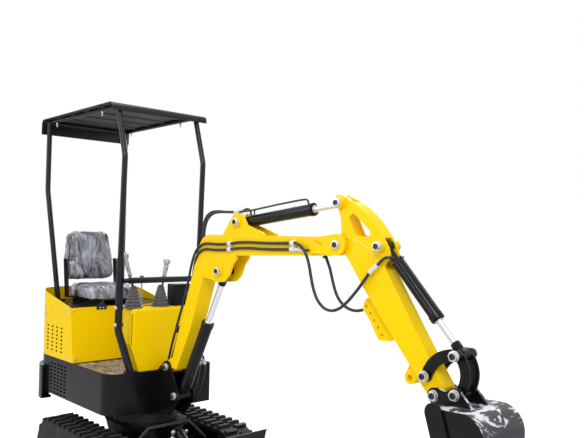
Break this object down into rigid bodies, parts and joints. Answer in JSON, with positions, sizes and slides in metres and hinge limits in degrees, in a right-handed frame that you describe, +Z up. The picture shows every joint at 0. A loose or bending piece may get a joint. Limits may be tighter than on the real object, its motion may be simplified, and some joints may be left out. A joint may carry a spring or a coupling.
{
  "type": "mini excavator",
  "caption": "Mini excavator on rubber tracks with an open four-post canopy, a bent boom, a stick, a bucket and a dozer blade, all with working joints.",
  "frame": {"origin": "on the ground under the middle of the whole machine, boom and bucket included", "axes": "+X ahead along the boom, +Y to the left of the operator, +Z up"},
  "size_m": [3.3542, 0.902, 2.292],
  "materials": {
    "yellow_paint": "gloss",
    "black_paint": "satin",
    "cylinder_black": "gloss",
    "rod_chrome": "polished",
    "track_rubber": "matte",
    "wheel_steel": "satin",
    "seat_vinyl": "satin",
    "floor_steel": "worn",
    "bellow_rubber": "matte",
    "lever_plastic": "matte",
    "engine_iron": "matte"
  },
  "bodies": {
    "undercarriage": {"track_left": "track_rubber", "track_right": "track_rubber", "track_frame_left": "black_paint", "track_frame_right": "black_paint", "sprockets": "wheel_steel", "idlers": "wheel_steel", "rollers": "wheel_steel", "car_body": "black_paint", "slew_ring": "wheel_steel"},
    "blade": {"blade": "black_paint"},
    "blade_barrel": {"blade_cyl_barrel": "cylinder_black"},
    "blade_rod": {"blade_cyl_rod": "rod_chrome"},
    "house": {"house_base": "black_paint", "skirt": "black_paint", "rear_skirt": "black_paint", "tail_shell": "yellow_paint", "rear_guard": "black_paint", "seat_box": "yellow_paint", "seat_plate": "black_paint", "seat_frame": "black_paint", "seat_cushion": "seat_vinyl", "seat_back": "seat_vinyl", "floor_plate": "floor_steel", "console": "yellow_paint", "bellows": "bellow_rubber", "control_levers": "lever_plastic", "side_box": "black_paint", "engine_block": "engine_iron", "canopy_frame": "black_paint", "post_sleeves": "black_paint", "canopy_roof": "black_paint", "boom_bracket": "black_paint"},
    "boom": {"boom": "yellow_paint"},
    "boom_barrel": {"boom_cyl_barrel": "cylinder_black"},
    "boom_rod": {"boom_cyl_rod": "rod_chrome"},
    "arm_barrel": {"arm_cyl_barrel": "cylinder_black"},
    "arm_rod": {"arm_cyl_rod": "rod_chrome"},
    "stick": {"stick": "yellow_paint"},
    "bucket_barrel": {"bucket_cyl_barrel": "cylinder_black"},
    "bucket_rod": {"bucket_cyl_rod": "rod_chrome"},
    "rocker": {"rocker": "black_paint"},
    "link": {"bucket_link": "black_paint"},
    "bucket": {"bucket": "black_paint"}
  },
  "joints": [
    {"name": "slew", "type": "hinge", "parent": "undercarriage", "child": "house", "pos_m": [-0.76778, 0, 0.42], "axis": [0, 0, 1], "continuous": true},
    {"name": "blade_lift", "type": "hinge", "parent": "undercarriage", "child": "blade", "pos_m": [-0.46778, 0, 0.19], "axis": [0, -1, 0], "range_deg": [-30, 5]},
    {"name": "blade_barrel_tilt", "type": "hinge", "parent": "undercarriage", "child": "blade_barrel", "pos_m": [-0.41578, 0, 0.392], "axis": [0, -1, 0], "range_deg": [-22.3, 4.6]},
    {"name": "blade_rod_slide", "type": "slide", "parent": "blade_barrel", "child": "blade_rod", "axis": [0.8692, 0, -0.4944], "range_m": [-0.0195, 0.1022]},
    {"name": "boom_lift", "type": "hinge", "parent": "house", "child": "boom", "pos_m": [-0.45578, 0, 0.749], "axis": [0, -1, 0], "range_deg": [-64, 18]},
    {"name": "boom_barrel_tilt", "type": "hinge", "parent": "house", "child": "boom_barrel", "pos_m": [-0.36378, 0, 0.596], "axis": [0, -1, 0], "range_deg": [-62.8, 18.4]},
    {"name": "boom_rod_slide", "type": "slide", "parent": "boom_barrel", "child": "boom_rod", "axis": [0.4673, 0, 0.8841], "range_m": [-0.1877, 0.0549]},
    {"name": "stick_curl", "type": "hinge", "parent": "boom", "child": "stick", "pos_m": [0.88722, 0, 1.492], "axis": [0, 1, 0], "range_deg": [-22, 65]},
    {"name": "arm_barrel_tilt", "type": "hinge", "parent": "boom", "child": "arm_barrel", "pos_m": [0.17322, 0, 1.593], "axis": [0, 1, 0], "range_deg": [-3.2, 7.5]},
    {"name": "arm_rod_slide", "type": "slide", "parent": "arm_barrel", "child": "arm_rod", "axis": [0.9932, 0, 0.1165], "range_m": [-0.0631, 0.1806]},
    {"name": "bucket_curl", "type": "hinge", "parent": "stick", "child": "bucket", "pos_m": [1.40922, 0, 0.931], "axis": [0, 1, 0], "range_deg": [-60, 90]},
    {"name": "rocker_turn", "type": "hinge", "parent": "stick", "child": "rocker", "pos_m": [1.36322, 0, 0.997], "axis": [0, 1, 0], "range_deg": [-34.1, 50.6]},
    {"name": "link_turn", "type": "hinge", "parent": "bucket", "child": "link", "pos_m": [1.50222, 0, 0.949], "axis": [0, 1, 0], "range_deg": [-63.1, 42.4]},
    {"name": "bucket_barrel_tilt", "type": "hinge", "parent": "stick", "child": "bucket_barrel", "pos_m": [1.12122, 0, 1.491], "axis": [0, 1, 0], "range_deg": [-3.5, 4.7]},
    {"name": "bucket_rod_slide", "type": "slide", "parent": "bucket_barrel", "child": "bucket_rod", "axis": [0.6868, 0, -0.7269], "range_m": [-0.0898, 0.1331]}
  ],
  "couplings": [
    {"joint": "blade_barrel_tilt", "follows": "blade_lift", "ratio": 0.7108},
    {"joint": "blade_rod_slide", "follows": "blade_lift", "m_per_rad": -0.18937},
    {"joint": "boom_barrel_tilt", "follows": "boom_lift", "ratio": 0.9657},
    {"joint": "boom_rod_slide", "follows": "boom_lift", "m_per_rad": 0.16532},
    {"joint": "arm_barrel_tilt", "follows": "stick_curl", "ratio": 0.1004},
    {"joint": "arm_rod_slide", "follows": "stick_curl", "m_per_rad": 0.15653},
    {"joint": "rocker_turn", "follows": "bucket_curl", "ratio": 0.5516},
    {"joint": "link_turn", "follows": "bucket_curl", "ratio": -0.6897},
    {"joint": "bucket_barrel_tilt", "follows": "bucket_curl", "ratio": 0.04125},
    {"joint": "bucket_rod_slide", "follows": "bucket_curl", "m_per_rad": 0.08285}
  ]
}
